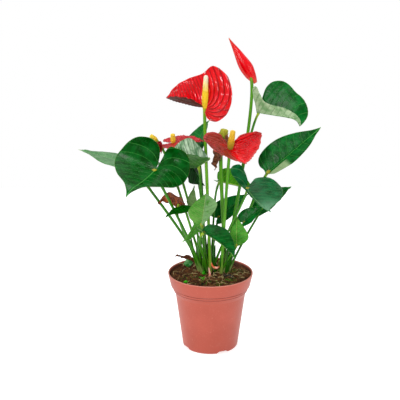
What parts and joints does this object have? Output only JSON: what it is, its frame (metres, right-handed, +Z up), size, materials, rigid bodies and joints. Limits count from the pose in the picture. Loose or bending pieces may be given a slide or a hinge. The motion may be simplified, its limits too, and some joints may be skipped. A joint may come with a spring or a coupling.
{
  "type": "potted anthurium plant",
  "caption": "Flowering house plant in a thin-walled round nursery pot, with heart-shaped leaves on long stalks, red spathes and upright spadices. It rests on the pot's foot.",
  "frame": {"origin": "middle of the pot's underside, on the surface the pot stands on", "axes": "+Z up, the way the plant grows; -Y towards the front of the plant; +X to its right-hand side"},
  "size_m": [0.3419, 0.239, 0.4384],
  "materials": {
    "pot": "terracotta-coloured plastic, slightly satin",
    "soil": "damp potting soil",
    "crown": "stem skin",
    "leaf": "glossy leaf",
    "young leaf": "satin young leaf",
    "stalk": "satin stalk",
    "spathe": "lacquer-like gloss",
    "withered spathe": "dry and dull",
    "spadix": "fine-grained, dull",
    "old spadix": "fine-grained, dull",
    "dry sheath": "dry and dull"
  },
  "bodies": {
    "root": {"pot": "pot", "soil": "soil", "crown_left": "crown", "crown_right": "crown", "leaf_front_left": "leaf", "stalk_front_left": "stalk", "leaf_far_left": "leaf", "stalk_far_left": "stalk", "leaf_back_left": "leaf", "stalk_back_left": "stalk", "leaf_dark_left": "leaf", "stalk_dark_left": "stalk", "leaf_tall_back": "leaf", "stalk_tall_back": "stalk", "leaf_top_right": "leaf", "stalk_top_right": "stalk", "leaf_right": "leaf", "stalk_right": "stalk", "leaf_mid_right": "leaf", "stalk_mid_right": "stalk", "leaf_right_rear": "leaf", "stalk_right_rear": "stalk", "leaf_behind_stems": "leaf", "stalk_behind_stems": "stalk", "leaf_inner_back": "leaf", "stalk_inner_back": "stalk", "leaf_low_right": "leaf", "stalk_low_right": "stalk", "leaf_centre_left": "young leaf", "stalk_centre_left": "stalk", "leaf_left_low": "leaf", "stalk_left_low": "stalk", "leaf_left_grey": "young leaf", "stalk_left_grey": "stalk", "leaf_low_left": "young leaf", "stalk_low_left": "stalk", "leaf_front_low": "leaf", "stalk_front_low": "stalk", "leaf_low_right_pale": "young leaf", "stalk_low_right_pale": "stalk", "spadix_open": "spadix", "peduncle_open": "stalk", "spathe_open": "spathe", "spadix_middle": "spadix", "peduncle_middle": "stalk", "spathe_middle": "spathe", "spadix_old_green": "old spadix", "peduncle_old_green": "stalk", "spathe_old_green": "withered spathe", "spadix_left": "spadix", "peduncle_left": "stalk", "spathe_left": "spathe", "spadix_far_left": "spadix", "peduncle_far_left": "stalk", "spathe_far_left": "spathe", "spathe_withered": "withered spathe", "peduncle_withered": "stalk", "spathe_bud": "spathe", "peduncle_bud": "stalk", "dry_sheath": "dry sheath"}
  },
  "joints": []
}
